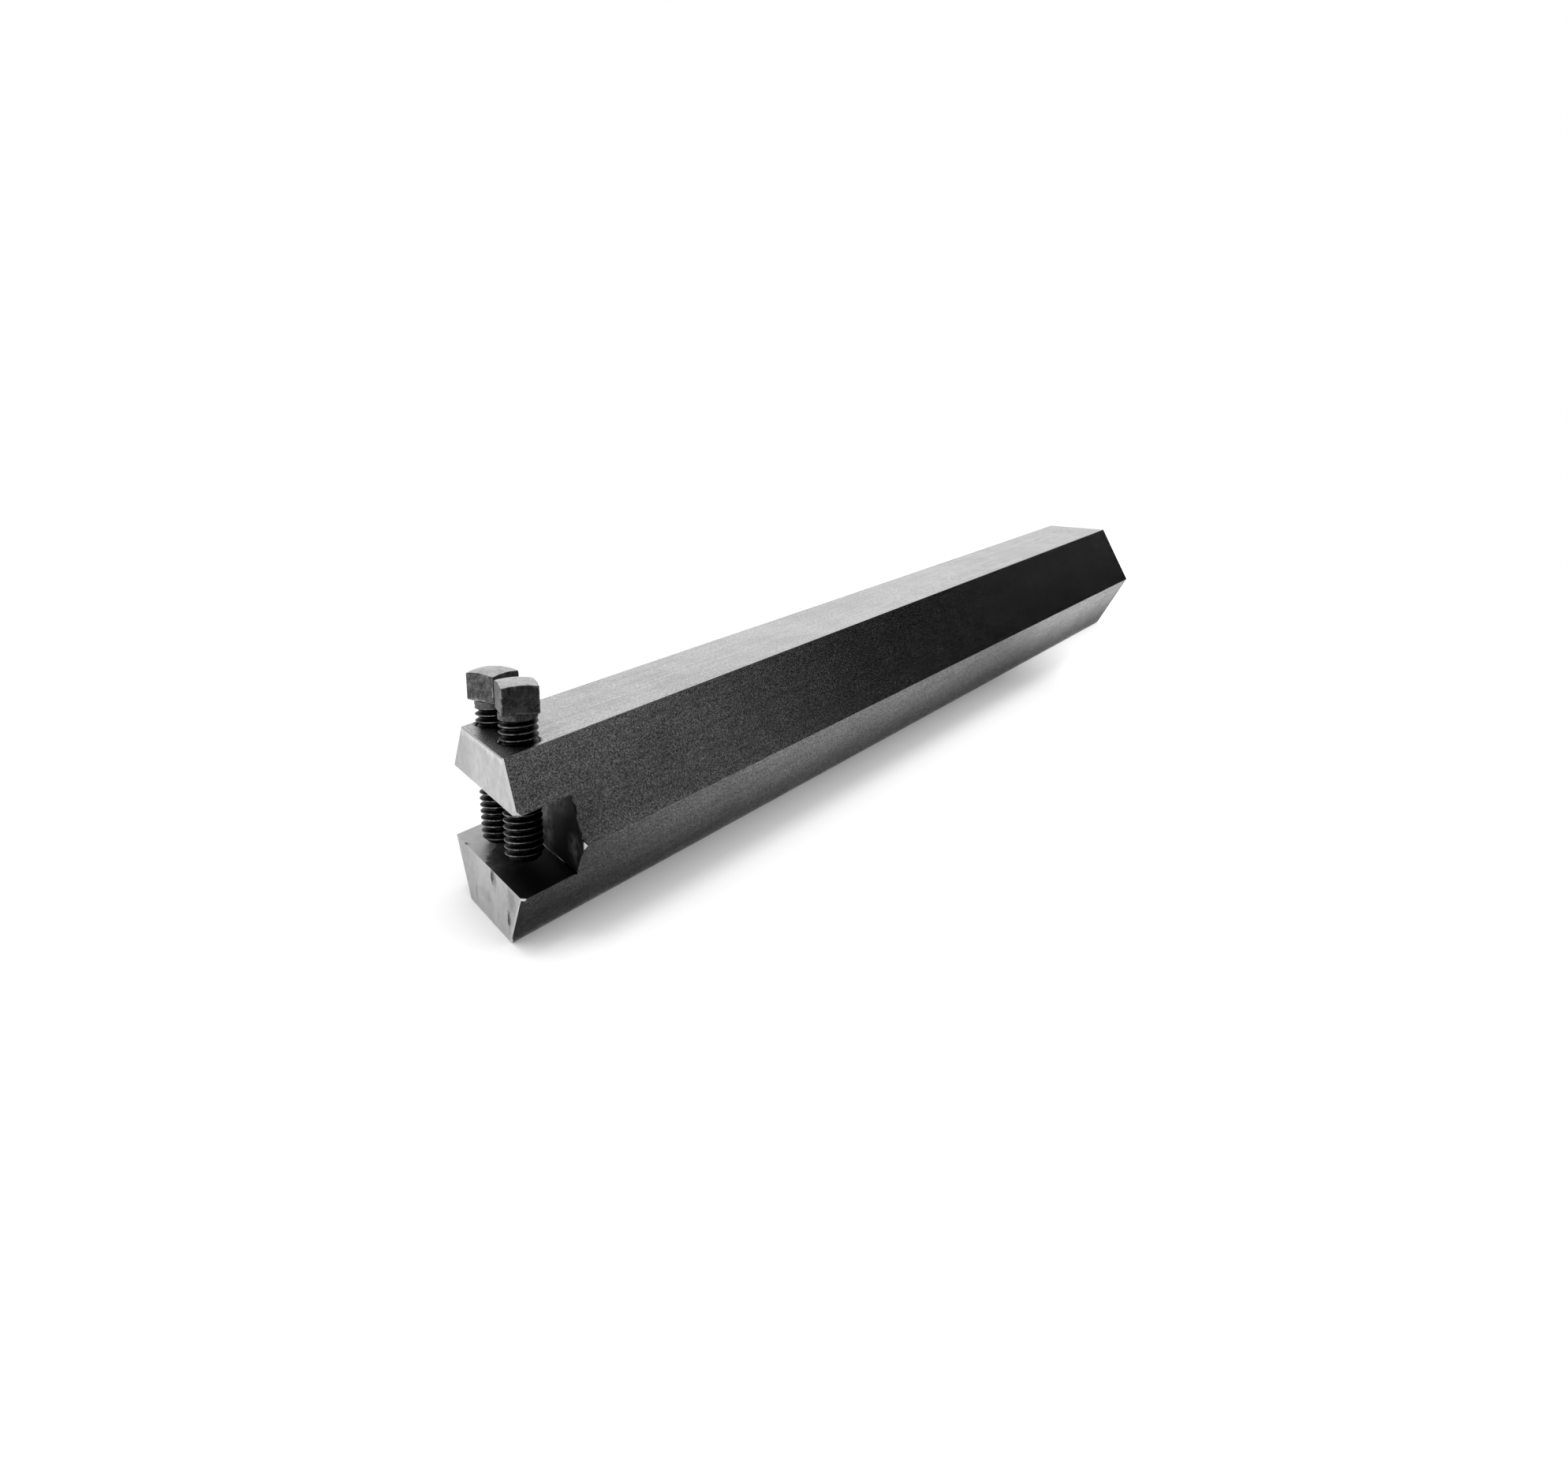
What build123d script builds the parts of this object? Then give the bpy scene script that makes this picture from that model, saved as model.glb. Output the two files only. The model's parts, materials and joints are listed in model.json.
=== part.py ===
from build123d import *
import os
from math import cos, radians, sin, tan

# Turning tool holder: a hexagonal steel bar whose tool end is cut off at an angle and slotted
# right across for a square tool bit, which two square-head screws clamp from above.
# Millimetres. +X runs from the tool end to the shank end, +Z is up through the screws, and
# the origin lies under the middle of the bar, on its bottom flat.

# Bar
across_flats = 38.1
bar_sides = 6
bar_length = 355.6  # along the bar's own axis
end_skew = 30.0  # angle between the tool end and a square cut
bar_edge_break = 0.25

# Slot for the tool bit
slot_height = 16.1
slot_floor_height = 12.05
slot_depth = 14.15  # square to the tool end
slot_root_relief = 0.35  # small groove where the floor meets the back wall

# Hand-filed facets, as depths below the edge or corner that they take off
upper_jaw_edge_facet = 0.42
lower_jaw_edge_facet = 0.62
lower_jaw_edge_tilt = 1.5  # degrees; the facet narrows downwards
upper_jaw_corner_facet = 1.4
lower_jaw_corner_facet = 1.0
ridge_corner_facet = 0.75

# Clamp screws, 5/16-18 UNC
screw_diameter = 7.9375
thread_pitch = 25.4 / 18
thread_angle = 60.0
thread_root_share = 0.25  # flat at the thread's root, as a share of the pitch
thread_clearance = 0.05  # radial, between the screw and its hole
thread_overlap = 0.1  # depth to which the thread's ridge is rooted in the core
hole_countersink = 0.3
screw_length = 30.8  # under the head
collar_length = 1.3
point_diameter = 5.4
screw_spacing = 14.66
screw_pair_offset = 0.75  # of the pair's middle from the bar's axis, along the slot

# Square heads
head_width = 7.75
head_height = 6.35
head_crown_radius = 19.84
head_edge_break = 0.25

# How far each screw's point stands above the slot's floor, and how its head is turned
front_point_gap = 1.33
rear_point_gap = 0.48
front_head_turn = -39.6
rear_head_turn = -92.9

side_angle = 180 / bar_sides  # of the bar's upper and lower flats from upright
half_width = across_flats / 2 / cos(radians(side_angle))
slot_ceiling_height = slot_floor_height + slot_height
up = Vector(0, 0, 1)
upper_flat = Vector(0, -cos(radians(side_angle)), sin(radians(side_angle)))
lower_flat = Vector(0, -cos(radians(side_angle)), -sin(radians(side_angle)))
end_normal = Vector(-cos(radians(end_skew)), sin(radians(end_skew)), 0)
slot_direction = Vector(sin(radians(end_skew)), cos(radians(end_skew)), 0)
slot_middle = Vector(slot_depth / 2 / cos(radians(end_skew)), 0, 0)  # on the bar's axis


def right_edge(height, inset=0.0):
    """A point of the bar's right side, on the tool end or this far in along the axis."""
    breadth = half_width - abs(height - across_flats / 2) * tan(radians(side_angle))
    return Vector(inset - breadth * tan(radians(end_skew)), -breadth, height)


def facet_cutter(point, *normals, depth, tilt=0.0, size=across_flats):
    """A block that takes a facet off the edge or corner where faces with these normals meet."""
    outward = sum(normals, Vector(0, 0, 0)).normalized()
    level = outward.cross(up)
    face = Plane(origin=point - outward * depth, x_dir=level, z_dir=outward)
    block = Box(size, size, size, align=(Align.CENTER, Align.CENTER, Align.MIN))
    return face * Rot(tilt, 0, 0) * block


def hexagonal_blank():
    """The bar before machining, with its tool end cut off at the skew angle."""
    overrun = across_flats
    section_plane = Plane(origin=(-overrun, 0, across_flats / 2), x_dir=(0, 1, 0), z_dir=(1, 0, 0))
    with BuildPart() as blank:
        with BuildSketch(section_plane):
            RegularPolygon(radius=half_width, side_count=bar_sides)
        extrude(amount=bar_length + overrun)
        split(bisect_by=Plane(origin=(0, 0, 0), z_dir=end_normal), keep=Keep.BOTTOM)
        tool_end = blank.faces().filter_by(Plane(origin=(0, 0, 0), z_dir=end_normal)).edges()
        shank_end = blank.faces().sort_by(Axis.X)[-1].edges()
        chamfer(tool_end + shank_end, length=bar_edge_break)
    return blank.part


def slot_cutter():
    """The bit's slot, open at the tool end and at both sides, with its root relief."""
    reach = 2 * across_flats
    slot_plane = Plane(origin=(0, 0, slot_floor_height), x_dir=slot_direction, z_dir=(0, 0, 1))
    mouth = Box(
        reach,
        slot_depth + reach,
        slot_height,
        align=(Align.CENTER, Align.CENTER, Align.MIN),
    )
    relief = Cylinder(slot_root_relief, reach, rotation=(0, 90, 0))
    back = slot_plane * Pos(0, -slot_depth, 0)
    return back * Pos(0, (slot_depth + reach) / 2, 0) * mouth + back * relief


def screw_axis(side):
    """Where a screw's axis meets the slot's floor; side is -1 at the front and 1 at the rear."""
    along = screw_pair_offset + side * screw_spacing / 2
    return slot_middle + slot_direction * along + Vector(0, 0, slot_floor_height)


def screw_hole(side):
    """The hole through the upper jaw, at the thread's outside diameter and a clearance."""
    radius = screw_diameter / 2 + thread_clearance
    jaw = across_flats - slot_floor_height
    hole = Cylinder(radius, jaw, align=(Align.CENTER, Align.CENTER, Align.MIN))
    countersink = Cone(
        radius,
        radius + hole_countersink,
        hole_countersink,
        align=(Align.CENTER, Align.CENTER, Align.MAX),
    )
    return Pos(screw_axis(side)) * (Pos(0, 0, slot_height / 2) * hole + Pos(0, 0, jaw) * countersink)


def filed_facets():
    """The facets filed on the jaws' right edges and on the slot's right corners."""
    small = 4 * upper_jaw_corner_facet
    upper_corner = right_edge(slot_ceiling_height)
    lower_corner = right_edge(slot_floor_height)
    ridge_corner = right_edge(across_flats / 2, inset=2 * slot_middle.X)
    return [
        facet_cutter(upper_corner, end_normal, upper_flat, depth=upper_jaw_edge_facet),
        facet_cutter(
            lower_corner,
            end_normal,
            lower_flat,
            depth=lower_jaw_edge_facet,
            tilt=lower_jaw_edge_tilt,
        ),
        facet_cutter(
            upper_corner, -up, end_normal, upper_flat, depth=upper_jaw_corner_facet, size=small
        ),
        facet_cutter(
            lower_corner, up, end_normal, lower_flat, depth=lower_jaw_corner_facet, size=small
        ),
        facet_cutter(
            ridge_corner, end_normal, upper_flat, lower_flat, depth=ridge_corner_facet, size=small
        ),
    ]


def holder_bar():
    """The one-piece holder: hexagonal shank, skewed tool end, slot and screw holes."""
    bar = hexagonal_blank() - slot_cutter() - screw_hole(-1) - screw_hole(1)
    for cutter in filed_facets():
        bar -= cutter
    return bar


def thread_ridge(depth, bottom, top):
    """The thread: one right-hand helical ridge, with its root sunk a little into the core."""
    path = Helix(
        pitch=thread_pitch,
        height=top - bottom,
        radius=screw_diameter / 2,
        center=(0, 0, bottom),
    )
    rooted = depth + thread_overlap
    half_base = rooted * tan(radians(thread_angle / 2))
    with BuildSketch(Plane(origin=path @ 0, x_dir=(1, 0, 0), z_dir=path % 0)) as profile:
        with BuildLine():
            Polyline((-rooted, -half_base), (0, 0), (-rooted, half_base), close=True)
        make_face()
    return sweep(profile.sketch, path=path, is_frenet=True)


def screw_head():
    """The square head, its top crowned by a large ball."""
    square = Box(
        head_width,
        head_width,
        head_height,
        align=(Align.CENTER, Align.CENTER, Align.MIN),
    )
    square = chamfer(square.edges().filter_by(Axis.Z), length=head_edge_break)
    return square & Pos(0, 0, head_height - head_crown_radius) * Sphere(head_crown_radius)


def clamp_screw():
    """A square-head set screw, its head's underside on the XY plane."""
    thread_depth = thread_pitch * (1 - thread_root_share) / 2 / tan(radians(thread_angle / 2))
    outside = screw_diameter / 2
    core = outside - thread_depth
    point = point_diameter / 2
    point_chamfer = core - point
    collar_end = -collar_length - thread_depth / 2
    with BuildPart() as shank:
        with BuildSketch(Plane.XZ):
            with BuildLine():
                Polyline(
                    (0, 0),
                    (outside, 0),
                    (outside, -collar_length),
                    (core, collar_end),
                    (core, point_chamfer - screw_length),
                    (point, -screw_length),
                    (0, -screw_length),
                    close=True,
                )
            make_face()
        revolve(axis=Axis.Z)
    ridge = thread_ridge(
        thread_depth,
        bottom=point_chamfer + thread_pitch / 2 - screw_length,
        top=collar_end - thread_pitch / 2,
    )
    return shank.part + screw_head() + ridge


def placed_screw(screw, side, point_gap, turn):
    """A screw in its hole, its point this far above the slot's floor."""
    lift = Vector(0, 0, point_gap + screw_length)
    return Pos(screw_axis(side) + lift) * Rot(0, 0, turn) * screw


bar = holder_bar()
screw = clamp_screw()
middle = bar.bounding_box().center().X
pieces = {
    "holder_bar": bar,
    "front_clamp_screw": placed_screw(screw, -1, front_point_gap, front_head_turn),
    "rear_clamp_screw": placed_screw(screw, 1, rear_point_gap, rear_head_turn),
}

os.makedirs("parts", exist_ok=True)
for name, piece in pieces.items():
    export_step(Pos(-middle, 0, 0) * piece, f"parts/{name}.step")
    print(f"{name}: {piece.volume:.1f} mm3")
print(f"middle of the bar: {middle:.4f} mm")
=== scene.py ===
import json
from math import atan2, cos, hypot, pi, radians, sin, sqrt, tan

import bmesh
import bpy
from mathutils import Matrix, Vector, noise

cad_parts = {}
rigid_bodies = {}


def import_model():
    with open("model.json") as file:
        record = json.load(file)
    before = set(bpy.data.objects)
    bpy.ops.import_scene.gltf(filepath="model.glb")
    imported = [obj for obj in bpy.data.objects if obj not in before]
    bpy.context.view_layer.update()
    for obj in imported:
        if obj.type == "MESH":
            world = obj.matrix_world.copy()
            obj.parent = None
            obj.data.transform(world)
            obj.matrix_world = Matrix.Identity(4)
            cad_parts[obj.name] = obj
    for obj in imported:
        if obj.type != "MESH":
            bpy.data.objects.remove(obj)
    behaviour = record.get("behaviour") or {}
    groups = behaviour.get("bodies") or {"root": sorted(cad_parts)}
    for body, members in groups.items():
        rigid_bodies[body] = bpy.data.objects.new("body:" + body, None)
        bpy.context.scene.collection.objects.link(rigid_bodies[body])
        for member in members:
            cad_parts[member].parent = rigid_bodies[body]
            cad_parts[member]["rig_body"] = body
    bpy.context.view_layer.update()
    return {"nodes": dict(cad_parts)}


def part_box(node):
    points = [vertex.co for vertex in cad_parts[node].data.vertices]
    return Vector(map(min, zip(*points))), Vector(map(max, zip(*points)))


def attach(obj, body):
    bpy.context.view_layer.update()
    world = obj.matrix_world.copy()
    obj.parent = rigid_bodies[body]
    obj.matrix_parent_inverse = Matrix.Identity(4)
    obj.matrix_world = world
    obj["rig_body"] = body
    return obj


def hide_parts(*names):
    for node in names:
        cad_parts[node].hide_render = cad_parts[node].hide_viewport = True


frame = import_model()

# A turning tool holder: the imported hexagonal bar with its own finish, two finished screws in place
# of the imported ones, and the studio. Everything is in metres, in the frame of the CAD model, with
# +X from the tool end to the shank end. Right is towards -Y and left towards +Y.
mm = 0.001

# Camera: the image's width and the focal length, both in pixels, and where it stands
image_width = 1988
focal_length = 1787.3
sensor_width = 36.0  # mm
camera_place = Vector((-0.37288, -0.18523, 0.11789))
camera_right = Vector((0.503217, -0.864148, 0.004512))
camera_forward = Vector((0.830616, 0.482236, -0.278435))

# Bar
across_flats = 38.1 * mm
bar_length = 355.6 * mm
end_skew = radians(30.0)
slot_floor_height = 12.05 * mm
slot_ceiling_height = 28.15 * mm
slot_depth = 14.15 * mm
bar_edge_radius = 0.15 * mm
flat_angle = radians(30.0)  # of the bar's upper and lower flats from upright
end_normal = Vector((-cos(end_skew), sin(end_skew), 0.0))
lower_right_flat = Vector((0.0, -cos(flat_angle), -sin(flat_angle)))
bar_axis = Vector((0.0, 0.0, across_flats / 2))
# How far the tool end's plane lies from the origin, along its normal
end_reach = (bar_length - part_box("holder_bar")[1].x) * cos(end_skew)
between_screws = Vector((-0.1640, 0.0006, across_flats))

# Screws, 5/16-18 UNC with square heads
screw_radius = 7.9375 / 2 * mm
thread_pitch = 25.4 / 18 * mm
thread_depth = 0.83 * mm
thread_flank = radians(30.0)
crest_half_width = 0.08 * mm
root_softness = 0.12  # the height over which the thread's root rounds, as a share of its depth
collar_length = 1.0 * mm
runout_length = 0.8 * mm
point_radius = 2.75 * mm
head_width = 7.75 * mm
head_height = 6.35 * mm
head_crown_radius = 19.84 * mm
head_corner_radius = 0.4 * mm
head_foot_round = 0.35 * mm
head_top_round = 0.22 * mm
skin_dent = 0.06 * mm  # deepest unevenness of the head's forged skin
skin_scale = 1.1 * mm
# For each screw: how its head is turned, and the turn at which its thread starts
screw_turns = {
    "front_clamp_screw": (radians(-39.6), radians(-137.0)),
    "rear_clamp_screw": (radians(-92.9), radians(72.0)),
}

# Rows and columns of the screws' meshes
rows_per_pitch = 22
head_side_columns = 22
head_corner_columns = 6
head_side_rows = 26
head_round_rows = 4
crown_rows_across = 14

# Wear of the screws, kept on their meshes: below 0 is an oiled thread, 0 a dull head, 1 rubbed bright
point_wear = -0.4
thread_wear = -0.4
# Crests are rubbed, and also painted light as the thread's highlight
crest_wear_and_highlight = 0.55
collar_wear = 0.15
underside_wear = 0.1
head_foot_wear = 0.45
head_foot_round_wear = 0.55
head_corner_wear = 0.55
head_top_wear = 0.4
head_top_round_wear = 0.3
crown_wear = 0.9

# Noises on the bar and the screws: scale per metre, detail and roughness
bar_grain = (2500.0, 3.0, 1.0)
bar_speck = (1600.0, 2.0, 0.6)
bar_cloud = (450.0, 4.0, 0.65)
bar_blotch = (70.0, 3.0, 0.6)
drawing_lines = (900.0, 3.0, 0.6)
drawing_line_stretch = Vector((0.03, 1.0, 1.0))
screw_grain = (3000.0, 3.0, 0.9)
screw_cloud = (700.0, 4.0, 0.75)

# Shades of the bar's steel, as its base colour from 0 to 1, from dark spots to light ones
side_shades = (0.03, 0.84)
top_shades = (0.3, 0.66)
end_shades = (0.36, 0.47)
# The slot's floor is painted: light at its left end, and painted shade elsewhere
slot_floor_painted_light = (0.39, 0.46)
slot_floor_painted_shade = 0.07
# The slot's back wall and ceiling: dark oxide with painted shade
wall_oxide_and_shade = 0.005
ceiling_oxide_and_shade = 0.06
groove_shades = (0.02, 0.4)
facet_shades = (0.62, 0.45)  # near the tool end, and elsewhere
pit_depth = 0.09 * mm
bar_roughness = {"flats": 0.2, "end": 0.34, "slot": 0.42}

# Cutter marks on the milled tool end
mill_mark_spacing = 0.41 * mm
mill_mark_waviness = 4.0

# Marks on the lower jaw's end face: middle, half size along each axis, and the shade that they
# multiply the steel by. A half size of 1 m leaves that axis out. A dent is sunk too.
dents = [
    (Vector((-0.17435, -0.0025, 0.01070)), Vector((1.0, 0.0010, 0.0015)), 0.03),
    (Vector((-0.17888, -0.0104, 0.00480)), Vector((1.0, 0.0008, 0.0017)), 0.04),
]
# The first two darken the middles of the dents.
dark_marks = [
    (Vector((-0.17435, -0.0025, 0.01080)), Vector((1.0, 0.0008, 0.0012)), 0.1),
    (Vector((-0.17888, -0.0104, 0.00490)), Vector((1.0, 0.0006, 0.0013)), 0.2),
    (Vector((-0.17500, -0.0035, 0.00980)), Vector((1.0, 0.0010, 0.0019)), 0.6),
    (Vector((-0.16870, 0.0073, 0.00360)), Vector((1.0, 0.0004, 0.0024)), 0.5),
    (Vector((-0.17970, -0.0120, 0.00960)), Vector((1.0, 0.0022, 0.0026)), 0.62),
    (Vector((-0.17200, 0.0015, 0.00500)), Vector((1.0, 0.0030, 0.0016)), 0.75),
]
dent_relief = 5.0

# Painted light on the slot's floor ends at a ragged line: the X that it leans left from, and its slope
light_line_start = -0.170
light_line_slope = 0.52

# A nick in the slot's floor, at the left of its edge
floor_nick = (Vector((-0.16580, 0.0125, 0.01200)), Vector((0.0006, 0.0010, 0.0002)), 0.02)

# Lighter patches on the slot's back wall: middle, half size, and shade
wall_patches = [
    (Vector((-0.159, -0.0030, 0.0170)), Vector((1.0, 0.0045, 0.0080)), 0.16),
    (Vector((-0.162, -0.0100, 0.0250)), Vector((1.0, 0.0065, 0.0030)), 0.1),
    (Vector((-0.166, -0.0175, 0.0170)), Vector((1.0, 0.0035, 0.0035)), 0.14),
]

# Stage. White and the skylight are strengths; the glow is painted light that lightens the floor and the
# bar's shadow past the bar's middle, and the floor turns to pure white between two distances from the
# origin.
white = 1.0
skylight = 1.3
floor_size = 20.0
floor_drop = 0.02 * mm
floor_paint = 0.8
floor_glow = 0.6
floor_glow_from, floor_glow_to = 0.065, 0.145
floor_white_from, floor_white_to = 0.28, 0.5
lamp_place = Vector((-0.1, 0.12, 1.0))
lamp_target = Vector((-0.05, 0.0, 0.0))
lamp_size = 0.4
lamp_power = 2.7

# Dark cards on the bar's right, which only its reflections show
card_foot = 0.1 * mm
card_top = 0.8
card_reach = 8.0
card_line = -0.12  # the Y of the standing cards
strip_near, strip_far = -0.0112, -0.032  # the Y range of the strip that lies beside the bar
dark_card_end = -0.065  # where the dark card beside the tool end stops short in Y
# The lying cards are a painted reflection of the floor and its shadow, darker towards the bar.
card_near_share, card_far_share = 0.28, 1.5  # of a card's shade, at the bar and away from it
card_fade_near, card_fade_far = -11.5 * mm, -25.0 * mm


def make_camera():
    data = bpy.data.cameras.new("camera")
    data.sensor_width = sensor_width
    data.lens = focal_length / image_width * sensor_width
    data.clip_start = 0.01
    camera = bpy.data.objects.new("camera", data)
    bpy.context.scene.collection.objects.link(camera)
    forward = camera_forward.normalized()
    right = (camera_right - camera_right.dot(forward) * forward).normalized()
    turn = Matrix((right, right.cross(forward), -forward)).transposed()
    camera.matrix_world = Matrix.Translation(camera_place) @ turn.to_4x4()
    bpy.context.scene.camera = camera


# Materials


class Graph:
    """A tree of shader nodes, made and linked by short calls."""

    def __init__(self, owner):
        owner.use_nodes = True
        self.tree = owner.node_tree
        self.tree.nodes.clear()

    def node(self, kind, settings=None, **inputs):
        """Inputs are named with _ for a space, or _0, _1 for a socket's number."""
        made = self.tree.nodes.new("ShaderNode" + kind)
        for key, value in (settings or {}).items():
            setattr(made, key, value)
        for key, value in inputs.items():
            socket = made.inputs[int(key[1:]) if key[0] == "_" else key.replace("_", " ")]
            if isinstance(value, bpy.types.NodeSocket):
                self.tree.links.new(value, socket)
            else:
                socket.default_value = value
        return made

    def math(self, operation, a, b=0.0):
        return self.node("Math", {"operation": operation}, _0=a, _1=b).outputs[0]

    def add(self, a, b):
        return self.math("ADD", a, b)

    def less(self, a, b):
        return self.math("SUBTRACT", a, b)

    def times(self, a, b):
        return self.math("MULTIPLY", a, b)

    def most(self, a, b):
        return self.math("MAXIMUM", a, b)

    def vector(self, operation, a, b=(0.0, 0.0, 0.0)):
        return self.node("VectorMath", {"operation": operation}, _0=a, _1=b).outputs["Vector"]

    def dot(self, a, b):
        made = self.node("VectorMath", {"operation": "DOT_PRODUCT"}, _0=a, _1=b)
        return made.outputs["Value"]

    def length(self, a):
        return self.node("VectorMath", {"operation": "LENGTH"}, _0=a).outputs["Value"]

    def ramp(self, value, low, high, start=0.0, end=1.0):
        """Maps low..high to start..end smoothly, and holds beyond them."""
        made = self.node(
            "MapRange",
            {"interpolation_type": "SMOOTHSTEP"},
            Value=value,
            From_Min=low,
            From_Max=high,
            To_Min=start,
            To_Max=end,
        )
        return made.outputs[0]

    def noise(self, place, scale, detail, roughness):
        made = self.node("TexNoise", Vector=place, Scale=scale, Detail=detail, Roughness=roughness)
        return made.outputs[0]

    def mix(self, factor, a, b):
        return self.node("Mix", {"data_type": "FLOAT"}, _0=factor, _2=a, _3=b).outputs[0]

    def grey(self, value):
        return self.node("CombineColor", Red=value, Green=value, Blue=value).outputs[0]

    def patch(self, place, middle, reach, raggedness, inside, outside):
        """One value inside an oval and another outside, with an edge moved by the raggedness."""
        away = self.length(self.vector("DIVIDE", self.vector("SUBTRACT", place, middle), reach))
        away = self.add(away, self.times(raggedness, 2.0))
        return self.ramp(away, 0.5, 1.3, inside, outside)

    def seen_directly(self):
        """1 for the camera's own rays and for what metal and glass show, 0 for other light."""
        path = self.node("LightPath").outputs
        seen = self.most(path["Is Camera Ray"], path["Is Glossy Ray"])
        return self.most(seen, path["Is Transmission Ray"])

    def close(self, shader, kind="OutputMaterial"):
        self.tree.links.new(shader, self.node(kind).inputs["Surface"])


class BarSurface:
    """What the bar's finish goes by: where a point lies, and which way its face looks."""

    def __init__(self, g):
        self.place = g.node("TexCoord").outputs["Object"]
        self.normal = g.node("NewGeometry").outputs["True Normal"]
        axes = g.node("SeparateXYZ", Vector=self.place).outputs
        self.along = axes["X"]
        self.across = axes["Y"]
        self.height = axes["Z"]
        # how far in from the tool end, square to it
        self.depth = g.less(end_reach, g.dot(self.place, end_normal))

        self.grain = g.noise(self.place, *bar_grain)
        self.cloud = g.noise(self.place, *bar_cloud)
        self.speck = g.less(g.noise(self.place, *bar_speck), 0.5)
        self.spread = g.less(self.cloud, 0.5)

        self.facing_up = g.node("SeparateXYZ", Vector=self.normal).outputs["Z"]
        facing_end = g.ramp(g.dot(self.normal, end_normal), 0.97, 0.99)
        at_end = g.ramp(self.depth, 1.5 * mm, 3.0 * mm, 1.0, 0.0)
        self.is_inside = g.less(1.0, at_end)
        self.is_end = g.times(facing_end, at_end)
        self.is_wall = g.times(facing_end, self.is_inside)
        low = g.ramp(self.height, 15 * mm, 16 * mm, 1.0, 0.0)
        self.is_floor = g.times(g.ramp(self.facing_up, 0.7, 0.9), low)
        high = g.ramp(self.height, 20 * mm, 21 * mm)
        self.is_ceiling = g.times(g.ramp(self.facing_up, -0.9, -0.7, 1.0, 0.0), high)
        self.is_top = g.ramp(self.height, across_flats - 0.3 * mm, across_flats - 0.1 * mm)
        self.is_slot_level = g.times(
            g.ramp(self.height, slot_floor_height - 0.05 * mm, slot_floor_height + 0.15 * mm),
            g.ramp(self.height, slot_ceiling_height - 0.15 * mm, slot_ceiling_height + 0.05 * mm, 1.0, 0.0),
        )


def facet_mask(g, bar):
    """1 on facets, broken edges and round holes, which face along none of the main directions."""
    parts = g.node("SeparateXYZ", Vector=g.vector("ABSOLUTE", bar.normal)).outputs
    along_flat = g.add(g.times(parts["Y"], cos(flat_angle)), g.times(parts["Z"], sin(flat_angle)))
    along_end = g.math("ABSOLUTE", g.dot(bar.normal, end_normal))
    straight = g.most(g.most(parts["X"], parts["Z"]), g.most(along_flat, along_end))
    return g.ramp(straight, 0.975, 0.99, 1.0, 0.0)


def oil_round_screws(g, bar):
    """A dark ring round each screw: 1 away from them."""
    clear = 1.0
    for screw in screw_turns:
        low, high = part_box(screw)
        from_axis = g.vector("SUBTRACT", bar.place, (low + high) / 2)
        from_axis = g.length(g.vector("MULTIPLY", from_axis, (1.0, 1.0, 0.0)))
        ring = g.ramp(from_axis, screw_radius + 0.35 * mm, screw_radius + 0.8 * mm, 0.03, 1.0)
        clear = g.times(clear, ring)
    return clear


def oil_round_slot(g, bar):
    """Oil that has crept out of the slot's inner edge onto the sides, ragged: 1 away from it."""
    depth = g.less(bar.depth, g.times(bar.spread, 3.5 * mm))
    rim = g.ramp(depth, slot_depth, slot_depth + 0.3 * mm, 0.05, 1.0)
    halo = g.ramp(depth, slot_depth, slot_depth + 12 * mm, 0.75, 1.0)
    return g.mix(bar.is_slot_level, 1.0, g.times(rim, halo))


def flats_shade(g, bar):
    """Cold-drawn flats: fine pits, faint lines along the bar, blotches, and the screws' painted shade on
    top.
    """
    dark = g.mix(bar.is_top, side_shades[0], top_shades[0])
    light = g.mix(bar.is_top, side_shades[1], top_shades[1])
    shade = g.ramp(bar.grain, 0.37, 0.63, dark, light)
    lines = g.noise(g.vector("MULTIPLY", bar.place, drawing_line_stretch), *drawing_lines)
    streaks = g.add(lines, g.noise(bar.place, *bar_blotch))
    shade = g.times(shade, g.ramp(streaks, 0.8, 1.2, 0.87, 1.08))

    # Painted shadow and reflection of the screws: the top flat darkens round the middle between them.
    distance = g.length(g.vector("SUBTRACT", bar.place, between_screws))
    distance = g.add(distance, g.times(bar.spread, 8 * mm))
    painted_screw_shade = g.ramp(distance, 7.5 * mm, 12.5 * mm, 0.85, 1.0)
    shade = g.times(shade, g.mix(bar.is_top, 1.0, painted_screw_shade))

    duller = g.ramp(bar.along, -0.05, 0.15, 1.0, 0.9)
    return g.times(shade, duller)


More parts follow.
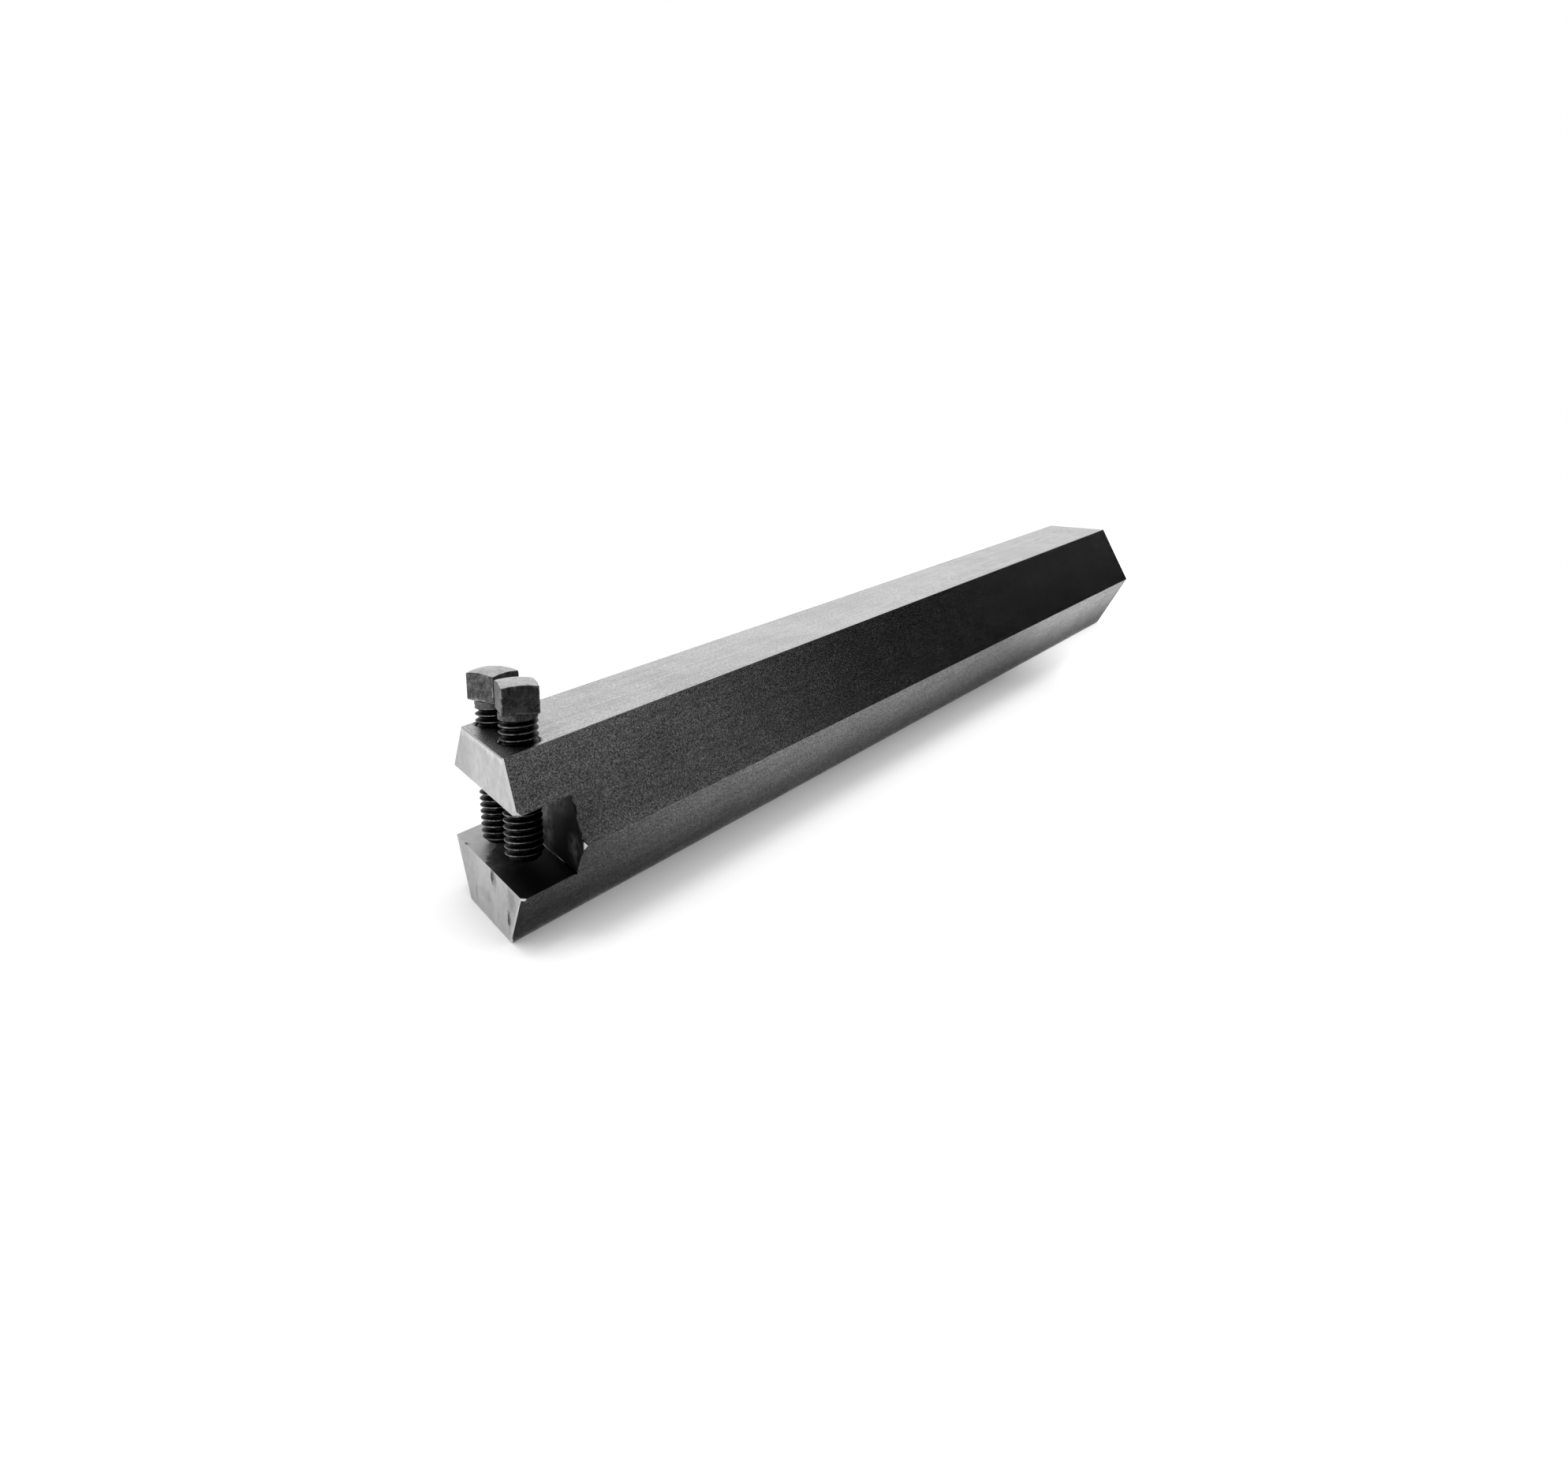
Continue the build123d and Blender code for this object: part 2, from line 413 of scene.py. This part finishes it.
def end_shade(g, bar):
    """The milled tool end: level cutter marks that fade to the right, rubbed edges with a painted highlight
    on the right one, and dark marks.
    """
    waves = g.node(
        "TexWave",
        {"wave_type": "BANDS", "bands_direction": "Z", "wave_profile": "SIN"},
        Vector=bar.place,
        Scale=2 * pi / 20 / mill_mark_spacing,  # the node makes 20 / 2 pi waves at a scale of 1
        Distortion=mill_mark_waviness,
        Detail=2.0,
        Detail_Scale=0.3,
    ).outputs["Fac"]
    to_left = g.add(bar.across, g.times(bar.spread, 6 * mm))
    waves = g.times(waves, g.ramp(to_left, 3 * mm, 11 * mm, 0.05, 0.5))
    shade = g.ramp(bar.cloud, 0.3, 0.7, *end_shades)
    shade = g.times(shade, g.ramp(bar.grain, 0.35, 0.65, 0.9, 1.07))
    # The end face grows darker towards the bottom.
    shade = g.times(shade, g.ramp(bar.height, 8 * mm, 24 * mm, 0.92, 1.0))
    shade = g.times(shade, g.less(1.05, waves))

    # The lower right edge is rubbed and also painted lighter as an edge highlight; the top edge is rubbed
    # lighter.
    from_axis = g.dot(g.vector("SUBTRACT", bar.place, bar_axis), lower_right_flat)
    right_edge = g.ramp(from_axis, across_flats / 2 - 1.4 * mm, across_flats / 2 - 0.9 * mm)
    height = g.add(bar.height, g.times(bar.spread, 4 * mm))
    top_edge = g.ramp(height, across_flats - 1.5 * mm, across_flats - 0.3 * mm)
    shade = g.add(shade, g.times(g.add(right_edge, top_edge), 0.13))

    for middle, reach, mark in [*dents, *dark_marks, floor_nick]:
        shade = g.times(shade, g.patch(bar.place, middle, reach, bar.speck, mark, 1.0))
    return shade


def end_relief(g, bar):
    """Height of the tool end, sunk in its dents."""
    relief = 1.0
    for middle, reach, _ in [*dents, floor_nick]:
        relief = g.times(relief, g.patch(bar.place, middle, reach, 0.0, 0.0, 1.0))
    return g.add(g.times(bar.cloud, 0.4), g.times(relief, dent_relief))


def slot_floor_painted_light_and_shade(g, bar):
    """The slot's floor: painted light at its left end and painted shade elsewhere, with a ragged line
    between.
    """
    painted_shade = g.ramp(bar.across, -9 * mm, 1 * mm, 0.0, slot_floor_painted_shade)
    painted_shade = g.times(painted_shade, g.ramp(bar.cloud, 0.35, 0.7, 0.4, 1.7))
    painted_light = g.ramp(bar.cloud, 0.3, 0.7, *slot_floor_painted_light)
    to_left = g.add(bar.across, g.times(bar.spread, 4 * mm))
    to_left = g.less(to_left, g.times(g.less(bar.along, light_line_start), light_line_slope))
    # Painted light left of the ragged line, painted shade right of it
    shade = g.mix(g.ramp(to_left, 2.5 * mm, 3.2 * mm), painted_shade, painted_light)
    middle, reach, mark = floor_nick
    return g.times(shade, g.patch(bar.place, middle, reach, bar.speck, mark, 1.0))


def slot_wall_oxide_and_shade(g, bar):
    """The slot's back wall: dark oxide and painted shade make it black, with lighter patches."""
    shade = wall_oxide_and_shade
    for middle, reach, patch_shade in wall_patches:
        patch = g.patch(bar.place, middle, reach, bar.spread, patch_shade, 0.0)
        shade = g.most(shade, patch)
    return g.times(shade, g.ramp(bar.cloud, 0.38, 0.62, 0.15, 1.6))


def rubbed_shade(g, bar, screw_oil):
    """Facets and broken edges, and the groove at the slot's root, which is light at its left and has
    painted shade at its right.
    """
    shade = g.times(g.ramp(bar.depth, 18 * mm, 22 * mm, *facet_shades), screw_oil)
    low = g.ramp(bar.height, slot_floor_height + 0.55 * mm, slot_floor_height + 1.15 * mm, 1.0, 0.0)
    is_groove = g.times(bar.is_inside, low)
    # Painted shade darkens the groove towards its right end.
    shade = g.mix(is_groove, shade, g.ramp(bar.across, -13 * mm, -7 * mm, *groove_shades))
    shade = g.times(shade, g.ramp(bar.facing_up, 0.55, 0.7, 1.0, 0.6))
    # the slot's inner edge is oily
    at_rim = g.ramp(bar.depth, slot_depth + 0.2 * mm, slot_depth + 0.35 * mm, 1.0, 0.0)
    at_rim = g.times(bar.is_slot_level, at_rim)
    return g.times(shade, g.less(1.0, g.times(at_rim, 0.92)))


def bar_material():
    """Steel of the holder: pitted drawn flats, a milled tool end, and a slot with painted light and shade
    and oil round its inner edge.
    """
    material = bpy.data.materials.new("bar_finish")
    g = Graph(material)
    bar = BarSurface(g)
    is_facet = facet_mask(g, bar)
    screw_oil = oil_round_screws(g, bar)

    shade = g.times(g.times(flats_shade(g, bar), screw_oil), oil_round_slot(g, bar))
    shade = g.mix(bar.is_end, shade, end_shade(g, bar))
    shade = g.mix(bar.is_floor, shade, slot_floor_painted_light_and_shade(g, bar))
    shade = g.mix(bar.is_wall, shade, slot_wall_oxide_and_shade(g, bar))
    # The slot's ceiling: dark oxide with painted shade
    shade = g.mix(bar.is_ceiling, shade, ceiling_oxide_and_shade)
    shade = g.mix(is_facet, shade, rubbed_shade(g, bar, screw_oil))

    rough = g.mix(bar.is_end, bar_roughness["flats"], bar_roughness["end"])
    rough = g.mix(g.add(bar.is_floor, bar.is_wall), rough, bar_roughness["slot"])

    pits = g.times(bar.grain, g.ramp(bar.along, -0.14, -0.04, 1.0, 0.5))
    relief = g.mix(bar.is_end, pits, end_relief(g, bar))
    relief = g.times(relief, g.less(1.0, is_facet))
    bump = g.node("Bump", Strength=1.0, Distance=pit_depth, Height=relief)
    shader = g.node(
        "BsdfPrincipled",
        Base_Color=g.grey(shade),
        Metallic=1.0,
        Roughness=rough,
        Normal=bump.outputs[0],
    )
    g.close(shader.outputs[0])
    return material


def screw_material():
    """Blackened screws: oiled threads where wear is below 0, a dull head, and rubbed edges."""
    material = bpy.data.materials.new("screw_finish")
    g = Graph(material)
    place = g.node("TexCoord").outputs["Object"]
    wear = g.node("Attribute", {"attribute_name": "wear"}).outputs["Fac"]
    grain = g.noise(place, *screw_grain)
    cloud = g.noise(place, *screw_cloud)

    uneven = g.add(g.less(cloud, 0.5), g.times(g.less(grain, 0.5), 0.8))
    rubbed = g.ramp(g.add(wear, uneven), 0.3, 0.85)
    oiled = g.ramp(cloud, 0.45, 0.75, 0.003, 0.03)
    dull = g.ramp(g.add(cloud, grain), 0.75, 1.25, 0.03, 0.16)
    dark = g.mix(g.ramp(wear, -0.3, -0.05), oiled, dull)
    steel = g.times(g.ramp(cloud, 0.3, 0.7, 0.28, 0.44), g.ramp(wear, 0.6, 0.9, 1.0, 1.3))

    bump = g.node("Bump", Strength=0.6, Distance=0.05 * mm, Height=g.add(grain, cloud))
    shader = g.node(
        "BsdfPrincipled",
        Base_Color=g.grey(g.mix(rubbed, dark, steel)),
        Metallic=1.0,
        Roughness=g.mix(rubbed, 0.45, 0.34),
        Normal=bump.outputs[0],
    )
    g.close(shader.outputs[0])
    return material


# Bar


def dress_bar(material):
    """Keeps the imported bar, with its edges a little rounded and its own finish."""
    piece = frame["nodes"]["holder_bar"]
    piece.data.materials.clear()
    piece.data.materials.append(material)
    weld = piece.modifiers.new("weld", "WELD")
    weld.merge_threshold = 0.001 * mm
    flatten = piece.modifiers.new("flatten", "DECIMATE")
    flatten.decimate_type = "DISSOLVE"
    flatten.angle_limit = radians(0.5)
    bevel = piece.modifiers.new("bevel", "BEVEL")
    bevel.width = bar_edge_radius
    bevel.segments = 2
    bevel.limit_method = "ANGLE"
    bevel.angle_limit = radians(25.0)
    bevel.harden_normals = True


# Screws: rows of points (x, y, z, wear) from the point up, with the head's underside at 0


def smooth(value, low, high):
    share = min(1.0, max(0.0, (value - low) / (high - low)))
    return share * share * (3 - 2 * share)


def row_point(angle, far, height, wear):
    return far * cos(angle), far * sin(angle), height, wear


def head_outline():
    """Points round the square head with its rounded corners, as (angle, reach)."""
    half = head_width / 2
    straight = half - head_corner_radius
    points = []
    for side in range(4):
        for k in range(head_side_columns):
            points.append((side, half, straight * (2 * k / head_side_columns - 1)))
        for k in range(head_corner_columns):
            swing = pi / 2 * k / head_corner_columns
            out = straight + head_corner_radius * cos(swing)
            along = straight + head_corner_radius * sin(swing)
            points.append((side, out, along))
    return [(side * pi / 2 + atan2(along, out), hypot(out, along)) for side, out, along in points]


def thread_radius(above_crest):
    """The thread's radius at a height above a crest, with a rounded root."""
    away = min(above_crest % thread_pitch, -above_crest % thread_pitch)
    drop = max(0.0, away - crest_half_width) / tan(thread_flank)
    soft = root_softness * thread_depth
    over = drop - thread_depth
    if over > soft:
        drop = thread_depth
    elif over > -soft:
        drop -= (over + soft) ** 2 / (4 * soft)
    return screw_radius - drop


def threaded_share(height):
    """0 on the collar under the head, and 1 where the thread has its full depth."""
    return smooth(-height, collar_length, collar_length + runout_length)


def shank_radius(height, above_crest, length):
    """The shank's radius, from the collar under the head to the chamfered point."""
    radius = screw_radius - (screw_radius - thread_radius(above_crest)) * threaded_share(height)
    return min(radius, point_radius + height + length)


def crown_height(reach):
    """Height of the head's crowned top, this far from the screw's axis."""
    return head_height - head_crown_radius + sqrt(head_crown_radius ** 2 - reach ** 2)


def point_rows(outline, length):
    """The flat end of the screw's point."""
    return [
        [row_point(angle, point_radius * share, -length, point_wear) for angle, _ in outline]
        for share in (0.0, 0.45, 0.9)
    ]


def shank_rows(outline, length, thread_turn):
    """Rows that climb one pitch in a turn, so that the thread's crest runs along them."""
    step = thread_pitch / rows_per_pitch
    rows = []
    for j in range(int((length + thread_pitch) / step) + 2):
        row = []
        for angle, _ in outline:
            turn = (angle - outline[0][0]) / (2 * pi)
            height = -length + j * step - thread_pitch * (1 - turn)
            height = min(0.0, max(-length, height))
            above_crest = height - thread_pitch * (angle + thread_turn) / (2 * pi)
            radius = shank_radius(height, above_crest, length)
            crest = smooth(radius, screw_radius - 0.12 * mm, screw_radius - 0.02 * mm)
            # The crest is rubbed and painted light, partly as a painted highlight.
            wear = thread_wear + (crest_wear_and_highlight - thread_wear) * crest
            wear = collar_wear + (wear - collar_wear) * threaded_share(height)
            row.append(row_point(angle, radius, height, wear))
        rows.append(row)
    return rows


def underside_rows(outline):
    """The head's flat underside and the round at its foot."""
    rows = []
    for share in (0.25, 0.6, 1.0):
        row = []
        for angle, reach in outline:
            far = screw_radius + (reach - head_foot_round - screw_radius) * share
            row.append(row_point(angle, far, 0.0, underside_wear))
        rows.append(row)
    for k in range(1, head_round_rows):
        swing = pi / 2 * k / head_round_rows
        height = head_foot_round * (1 - cos(swing))
        row = []
        for angle, reach in outline:
            far = reach - head_foot_round * (1 - sin(swing))
            row.append(row_point(angle, far, height, head_foot_round_wear))
        rows.append(row)
    return rows


def side_wear(reach, height, top):
    """Wear on the head's sides, most at its corners, its foot and below its top edge."""
    at_corner = smooth(reach, head_width / 2 * 1.30, head_width / 2 * 1.36)
    at_top = smooth(height, top - 0.5 * mm, top)
    at_foot = smooth(-height, -1.3 * mm, -0.3 * mm)
    return max(head_corner_wear * at_corner, head_top_wear * at_top, head_foot_wear * at_foot)


def side_rows(outline):
    """The head's four sides, up to the round along its top edge."""
    rows = []
    for k in range(head_side_rows + 1):
        row = []
        for angle, reach in outline:
            top = crown_height(reach) - head_top_round
            height = head_foot_round + (top - head_foot_round) * k / head_side_rows
            row.append(row_point(angle, reach, height, side_wear(reach, height, top)))
        rows.append(row)
    return rows


def crown_rows(outline):
    """The round along the head's top edge, and its crowned top."""
    rows = []
    for k in range(1, head_round_rows):
        swing = pi / 2 * k / head_round_rows
        row = []
        for angle, reach in outline:
            far = reach - head_top_round * (1 - cos(swing))
            height = crown_height(reach) - head_top_round * (1 - sin(swing))
            row.append(row_point(angle, far, height, head_top_round_wear))
        rows.append(row)
    for k in range(crown_rows_across + 1):
        row = []
        for angle, reach in outline:
            far = (reach - head_top_round) * (1 - k / crown_rows_across)
            row.append(row_point(angle, far, crown_height(far), crown_wear))
        rows.append(row)
    return rows


def screw_faces(row_count, columns, thread_start, thread_end):
    """Squares between the rows. In the thread, the last column joins the first a pitch further up."""

    def joined_row(j):
        return min(j + rows_per_pitch, thread_end) if thread_start <= j <= thread_end else j

    faces = []
    for j in range(row_count - 1):
        for i in range(columns - 1):
            faces.append((
                j * columns + i,
                j * columns + i + 1,
                (j + 1) * columns + i + 1,
                (j + 1) * columns + i,
            ))
        faces.append((
            j * columns + columns - 1,
            joined_row(j) * columns,
            joined_row(j + 1) * columns,
            (j + 1) * columns + columns - 1,
        ))
    return faces


def dented(x, y, z, seed):
    """A point of the screw, let in a little on the head for its uneven forged skin."""
    point = Vector((x, y, z))
    if z > 0 and (x or y):
        depth = abs(noise.noise(point / skin_scale + seed)) * skin_dent
        point -= Vector((x, y, 0.0)).normalized() * depth
    return point


def close_mesh(mesh):
    """Joins the points that coincide at the point, the crown and the thread's ends."""
    shape = bmesh.new()
    shape.from_mesh(mesh)
    bmesh.ops.remove_doubles(shape, verts=shape.verts, dist=0.002 * mm)
    bmesh.ops.dissolve_degenerate(shape, edges=shape.edges, dist=0.0005 * mm)
    bmesh.ops.recalc_face_normals(shape, faces=shape.faces)
    shape.to_mesh(mesh)
    shape.free()


def make_screw(node, material):
    """A finished screw in the place of a packed one."""
    low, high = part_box(node)
    head_turn, thread_turn = screw_turns[node]
    underside = high.z - head_height
    length = underside - low.z
    axis = (low + high) / 2
    turn = Matrix.Rotation(head_turn, 4, "Z")
    place = Matrix.Translation((axis.x, axis.y, underside)) @ turn

    outline = head_outline()
    point = point_rows(outline, length)
    shank = shank_rows(outline, length, thread_turn)
    rows = point + shank + underside_rows(outline) + side_rows(outline) + crown_rows(outline)
    thread_start = len(point)
    thread_end = len(point) + len(shank) - 1
    points = [point for row in rows for point in row]

    mesh = bpy.data.meshes.new(node + "_finish")
    corners = [place @ dented(x, y, z, axis * 1000) for x, y, z, _ in points]
    mesh.from_pydata(corners, [], screw_faces(len(rows), len(outline), thread_start, thread_end))
    wear = mesh.attributes.new("wear", "FLOAT", "POINT")
    wear.data.foreach_set("value", [point[3] for point in points])
    close_mesh(mesh)
    mesh.materials.append(material)
    mesh.shade_smooth()

    piece = bpy.data.objects.new(node + "_finish", mesh)
    bpy.context.scene.collection.objects.link(piece)
    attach(piece, frame["nodes"][node]["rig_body"])
    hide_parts(node)


# Stage


def make_floor():
    material = bpy.data.materials.new("floor_white")
    g = Graph(material)
    place = g.node("TexCoord").outputs["Object"]
    along = g.node("SeparateXYZ", Vector=place).outputs["X"]
    seen = g.seen_directly()
    # Painted light: the floor glows past the bar's middle, which fades the bar's shadow there.
    glow_strength = g.times(seen, g.ramp(along, floor_glow_from, floor_glow_to, 0.0, floor_glow))
    paint = g.node("BsdfDiffuse", Color=(floor_paint, floor_paint, floor_paint, 1.0))
    glow = g.node("Emission", Color=(1, 1, 1, 1), Strength=glow_strength)
    lit = g.node("AddShader", _0=paint.outputs[0], _1=glow.outputs[0])
    background = g.node("Emission", Color=(1, 1, 1, 1), Strength=seen)
    fade = g.ramp(g.length(place), floor_white_from, floor_white_to)
    shader = g.node("MixShader", _0=fade, _1=lit.outputs[0], _2=background.outputs[0])
    g.close(shader.outputs[0])

    bpy.ops.mesh.primitive_plane_add(size=floor_size, location=(0, 0, -floor_drop))
    floor = bpy.context.object
    floor.name = "floor"
    floor.data.materials.append(material)


def card_material(name, left, right, left_shade, right_shade):
    """A card whose shade changes from left to right along X, and falls towards the bar."""
    material = bpy.data.materials.new(name)
    g = Graph(material)
    axes = g.node("SeparateXYZ", Vector=g.node("TexCoord").outputs["Object"]).outputs
    shade = g.ramp(axes["X"], left, right, left_shade, right_shade)
    share = g.ramp(axes["Y"], card_fade_far, card_fade_near, card_far_share, card_near_share)
    card = g.node("Emission", Color=(1, 1, 1, 1), Strength=g.times(shade, share))
    g.close(card.outputs[0])
    return material


def make_card(name, corners, material):
    """A flat dark card, seen only in the steel's reflections."""
    mesh = bpy.data.meshes.new(name)
    mesh.from_pydata(corners, [], [(0, 1, 2, 3)])
    mesh.materials.append(material)
    card = bpy.data.objects.new(name, mesh)
    bpy.context.scene.collection.objects.link(card)
    card.visible_camera = False
    card.visible_diffuse = False
    card.visible_shadow = False


def make_standing_card(name, left, right, material):
    corners = [
        (right, card_line, card_foot),
        (left, card_line, card_foot),
        (left, card_line, card_top),
        (right, card_line, card_top),
    ]
    make_card(name, corners, material)


def make_lying_card(name, left, right, near, far, material):
    corners = [
        (right, near, card_foot),
        (right, far, card_foot),
        (left, far, card_foot),
        (left, near, card_foot),
    ]
    make_card(name, corners, material)


def make_cards():
    """The upper flat shows the standing cards, and the lower flat the ones that lie."""
    dark = card_material("card_dark", -0.03, 0.2, left_shade=0.12, right_shade=0.012)
    darker = card_material("card_darker", -0.5, 0.0, left_shade=0.05, right_shade=0.05)
    beside = card_material("card_beside", -0.2, -0.05, left_shade=0.1, right_shade=0.36)
    beyond = card_material("card_beyond", 0.08, 0.15, left_shade=0.36, right_shade=0.72)
    make_standing_card("standing", -0.15, card_reach, dark)
    make_standing_card("standing_left", -0.32, -0.15, darker)
    # Painted reflection of the floor's shadow, darker towards the tool end and the bar
    make_lying_card("lying_beside", -0.26, 0.07, strip_near, strip_far, beside)
    make_lying_card("lying_beyond", 0.07, 0.25, strip_near, strip_far, beyond)
    make_lying_card("lying_dark_left", -0.35, -0.2, strip_far, card_line, darker)
    make_lying_card("lying_dark", -0.2, -0.12, strip_far, dark_card_end, dark)
    make_lying_card("lying_dark_right", -0.12, card_reach, strip_far, card_line, dark)


def make_lamp():
    """One soft lamp overhead, which gives the shadow and isn't mirrored in the steel."""
    data = bpy.data.lights.new("key", "AREA")
    data.size = lamp_size
    data.energy = lamp_power
    lamp = bpy.data.objects.new("key", data)
    bpy.context.scene.collection.objects.link(lamp)
    lamp.visible_glossy = False
    lamp.location = lamp_place
    lamp.rotation_mode = "QUATERNION"
    lamp.rotation_quaternion = (lamp_target - lamp_place).to_track_quat("-Z", "Y")


def make_world():
    world = bpy.data.worlds.new("studio")
    bpy.context.scene.world = world
    g = Graph(world)
    soft = g.node("Background", Color=(1, 1, 1, 1), Strength=skylight)
    plain = g.node("Background", Color=(1, 1, 1, 1), Strength=white)
    shader = g.node("MixShader", _0=g.seen_directly(), _1=soft.outputs[0], _2=plain.outputs[0])
    g.close(shader.outputs[0], "OutputWorld")


make_camera()
dress_bar(bar_material())
screw_finish = screw_material()
for screw in screw_turns:
    make_screw(screw, screw_finish)
make_floor()
make_cards()
make_world()
make_lamp()
bpy.context.scene.view_settings.view_transform = "Standard"
